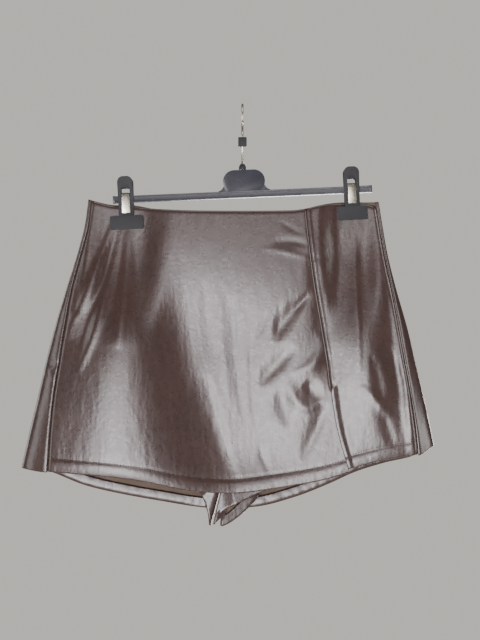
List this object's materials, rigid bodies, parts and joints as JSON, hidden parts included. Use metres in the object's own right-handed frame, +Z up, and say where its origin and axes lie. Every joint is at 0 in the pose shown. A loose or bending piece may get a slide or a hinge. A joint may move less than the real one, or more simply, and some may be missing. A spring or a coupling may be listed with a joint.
{
  "type": "leather skort on a clip hanger",
  "caption": "Wrap-look skort in brown coated leather: shorts under a slit front skirt panel, clipped by the waist to a plastic trouser hanger.",
  "frame": {"origin": "inner crown of the hanger's hook, where a rail carries it", "axes": "+X towards the viewer's right as the front is seen, +Y to the back of the garment, +Z up"},
  "size_m": [0.5082, 0.0525, 0.5195],
  "materials": {
    "leather": "satin coated leather, warm brown",
    "leather_hem": "satin coated leather, turned-up edge",
    "zip": "closed nylon coil",
    "backing": "beige knitted backing",
    "thread": "brown polyester thread",
    "black_plastic": "black moulded plastic",
    "grey_plastic": "glossy dark grey moulded plastic",
    "steel": "bright plated steel"
  },
  "bodies": {
    "root": {"skirt_front": "leather", "skirt_side": "leather", "shorts_front_left": "leather", "shorts_front_right": "leather", "shorts_back_left": "leather", "shorts_back_right": "leather", "leg_hem_left": "leather_hem", "leg_hem_right": "leather_hem", "side_zip": "zip", "hanger_moulding": "grey_plastic", "hanger_collar": "black_plastic", "hook": "steel", "size_block": "black_plastic", "clip_left_front": "black_plastic", "clip_left_back": "black_plastic", "clip_left_spring": "steel", "clip_right_front": "black_plastic", "clip_right_back": "black_plastic", "clip_right_spring": "steel"}
  },
  "joints": []
}
